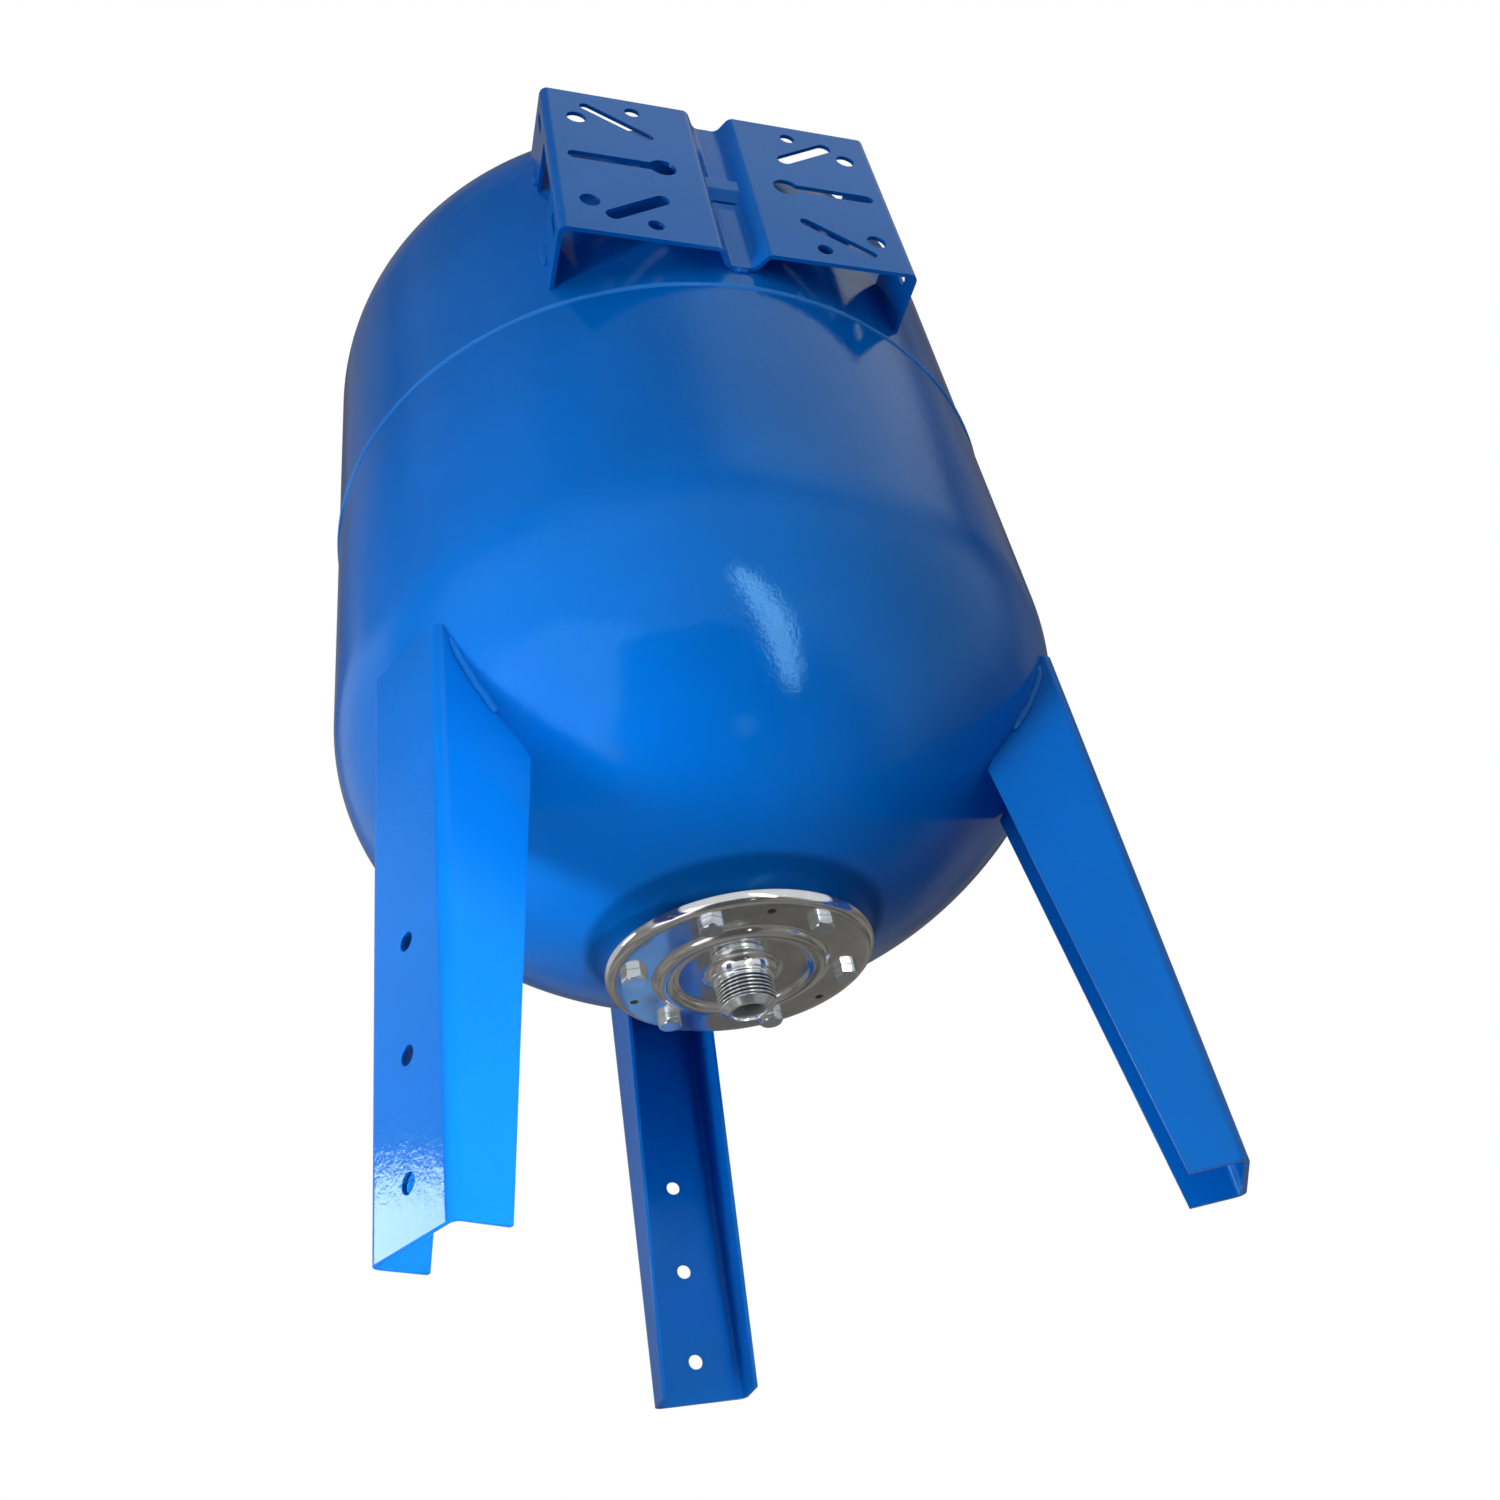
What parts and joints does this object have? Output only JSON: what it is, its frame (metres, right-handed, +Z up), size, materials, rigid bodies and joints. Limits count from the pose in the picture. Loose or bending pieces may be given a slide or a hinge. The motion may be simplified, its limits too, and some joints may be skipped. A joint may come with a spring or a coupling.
{
  "type": "pressure tank",
  "caption": "Upright domed pressure tank on channel legs, with an inner bladder, a bolted bottom flange with a threaded water connection, and a slotted pump bracket on its side.",
  "frame": {"origin": "centre of the water connection's mouth, on the tank's axis", "axes": "+Z up along the tank's axis, away from the water connection; the pump bracket faces -Y, so +X is to its right seen from the front"},
  "size_m": [0.4526, 0.4643, 0.8475],
  "materials": {
    "blue_paint": "glossy blue powder paint",
    "bright_zinc": "mirror-bright zinc plating",
    "zinc": "bluish zinc plating",
    "rubber": "matt black rubber",
    "brass": "turned brass",
    "black_plastic": "fine matt moulding"
  },
  "bodies": {
    "root": {"lower_shell": "blue_paint", "upper_shell": "blue_paint", "seam_weld": "blue_paint", "neck_ring": "blue_paint", "neck_ring_weld": "blue_paint", "bladder": "rubber", "flange_cover": "bright_zinc", "water_nipple": "zinc", "nipple_weld": "zinc", "flange_screws": "zinc", "left_leg": "blue_paint", "right_leg": "blue_paint", "rear_leg": "blue_paint", "left_leg_welds": "blue_paint", "right_leg_welds": "blue_paint", "rear_leg_welds": "blue_paint", "pump_bracket": "blue_paint", "bracket_welds": "blue_paint", "valve_boss": "blue_paint", "valve_boss_weld": "blue_paint", "valve_washer": "rubber", "valve_body": "brass", "valve_core": "brass", "valve_cap": "black_plastic"}
  },
  "joints": []
}
